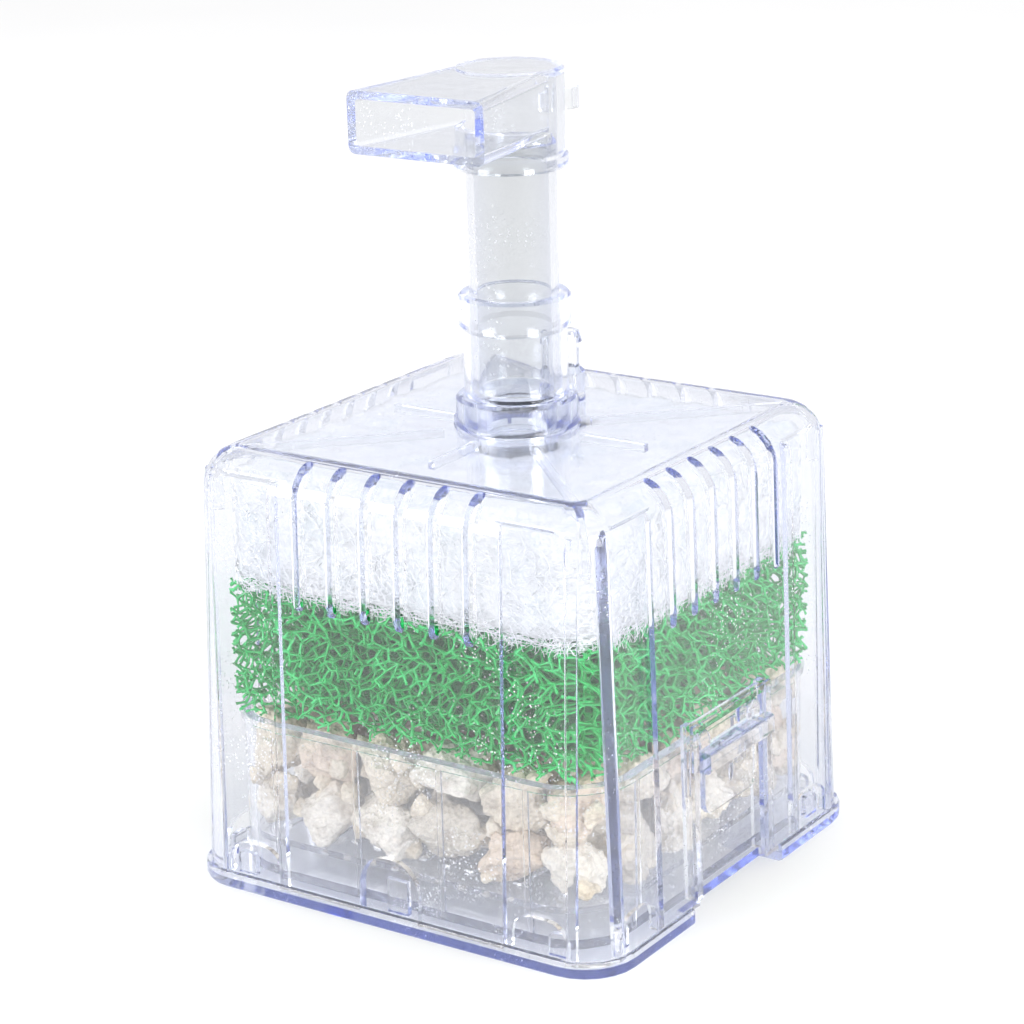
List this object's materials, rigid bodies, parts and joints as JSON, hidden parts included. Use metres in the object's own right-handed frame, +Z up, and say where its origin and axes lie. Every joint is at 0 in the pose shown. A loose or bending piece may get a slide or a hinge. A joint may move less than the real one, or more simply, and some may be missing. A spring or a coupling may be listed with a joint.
{
  "type": "air-driven internal aquarium filter",
  "caption": "Clear box-shaped internal aquarium filter with slotted lift-off hood, stone basket, foam and floss pads, telescoping riser, swivel outlet.",
  "frame": {"origin": "centre of the underside, on the surface the filter stands on", "axes": "+Z up, -Y to the front where the outlet points at rest, +X to the right, towards one of the two squeeze latches"},
  "size_m": [0.1032, 0.1012, 0.1622],
  "materials": {
    "clear_plastic": "clear moulded plastic, glossy",
    "green_foam": "open-cell reticulated foam",
    "white_floss": "matted polyester fibre",
    "cream_stone": "rough porous stone"
  },
  "bodies": {
    "base": {"base_tray": "clear_plastic", "media_basket": "clear_plastic", "grid_plate": "clear_plastic", "lift_tube": "clear_plastic", "foam_pad": "green_foam", "floss_pad": "white_floss", "stone_core": "cream_stone", "stone_01": "cream_stone", "stone_02": "cream_stone", "stone_03": "cream_stone", "stone_04": "cream_stone", "stone_05": "cream_stone", "stone_06": "cream_stone", "stone_07": "cream_stone", "stone_08": "cream_stone", "stone_09": "cream_stone", "stone_10": "cream_stone", "stone_11": "cream_stone", "stone_12": "cream_stone", "stone_13": "cream_stone", "stone_14": "cream_stone", "stone_15": "cream_stone", "stone_16": "cream_stone", "stone_17": "cream_stone", "stone_18": "cream_stone", "stone_19": "cream_stone", "stone_20": "cream_stone", "stone_21": "cream_stone", "stone_22": "cream_stone", "stone_23": "cream_stone", "stone_24": "cream_stone", "stone_25": "cream_stone", "stone_26": "cream_stone", "stone_27": "cream_stone", "stone_28": "cream_stone", "stone_29": "cream_stone", "stone_30": "cream_stone", "stone_31": "cream_stone", "stone_32": "cream_stone", "stone_33": "cream_stone", "stone_34": "cream_stone", "stone_35": "cream_stone", "stone_36": "cream_stone", "stone_37": "cream_stone", "stone_38": "cream_stone", "stone_39": "cream_stone", "stone_40": "cream_stone"},
    "casing": {"casing": "clear_plastic", "riser_sleeve": "clear_plastic", "air_pipe": "clear_plastic"},
    "riser": {"riser_tube": "clear_plastic"},
    "head": {"outlet_head": "clear_plastic"},
    "latch_right": {"latch_right": "clear_plastic"},
    "latch_left": {"latch_left": "clear_plastic"}
  },
  "joints": [
    {"name": "casing_lift", "type": "slide", "parent": "base", "child": "casing", "axis": [0, 0, 1], "range_m": [0, 0.1]},
    {"name": "riser_telescope", "type": "slide", "parent": "casing", "child": "riser", "axis": [0, 0, 1], "range_m": [0, 0.012]},
    {"name": "outlet_swivel", "type": "hinge", "parent": "riser", "child": "head", "pos_m": [0, 0, 0.145], "axis": [0, 0, 1], "continuous": true},
    {"name": "latch_right_squeeze", "type": "hinge", "parent": "base", "child": "latch_right", "pos_m": [0.0469, 0, 0.0356], "axis": [0, 1, 0], "range_deg": [0, 5], "stiffness_Nm_per_rad": 0.4},
    {"name": "latch_left_squeeze", "type": "hinge", "parent": "base", "child": "latch_left", "pos_m": [-0.0469, 0, 0.0356], "axis": [0, -1, 0], "range_deg": [0, 5], "stiffness_Nm_per_rad": 0.4}
  ]
}
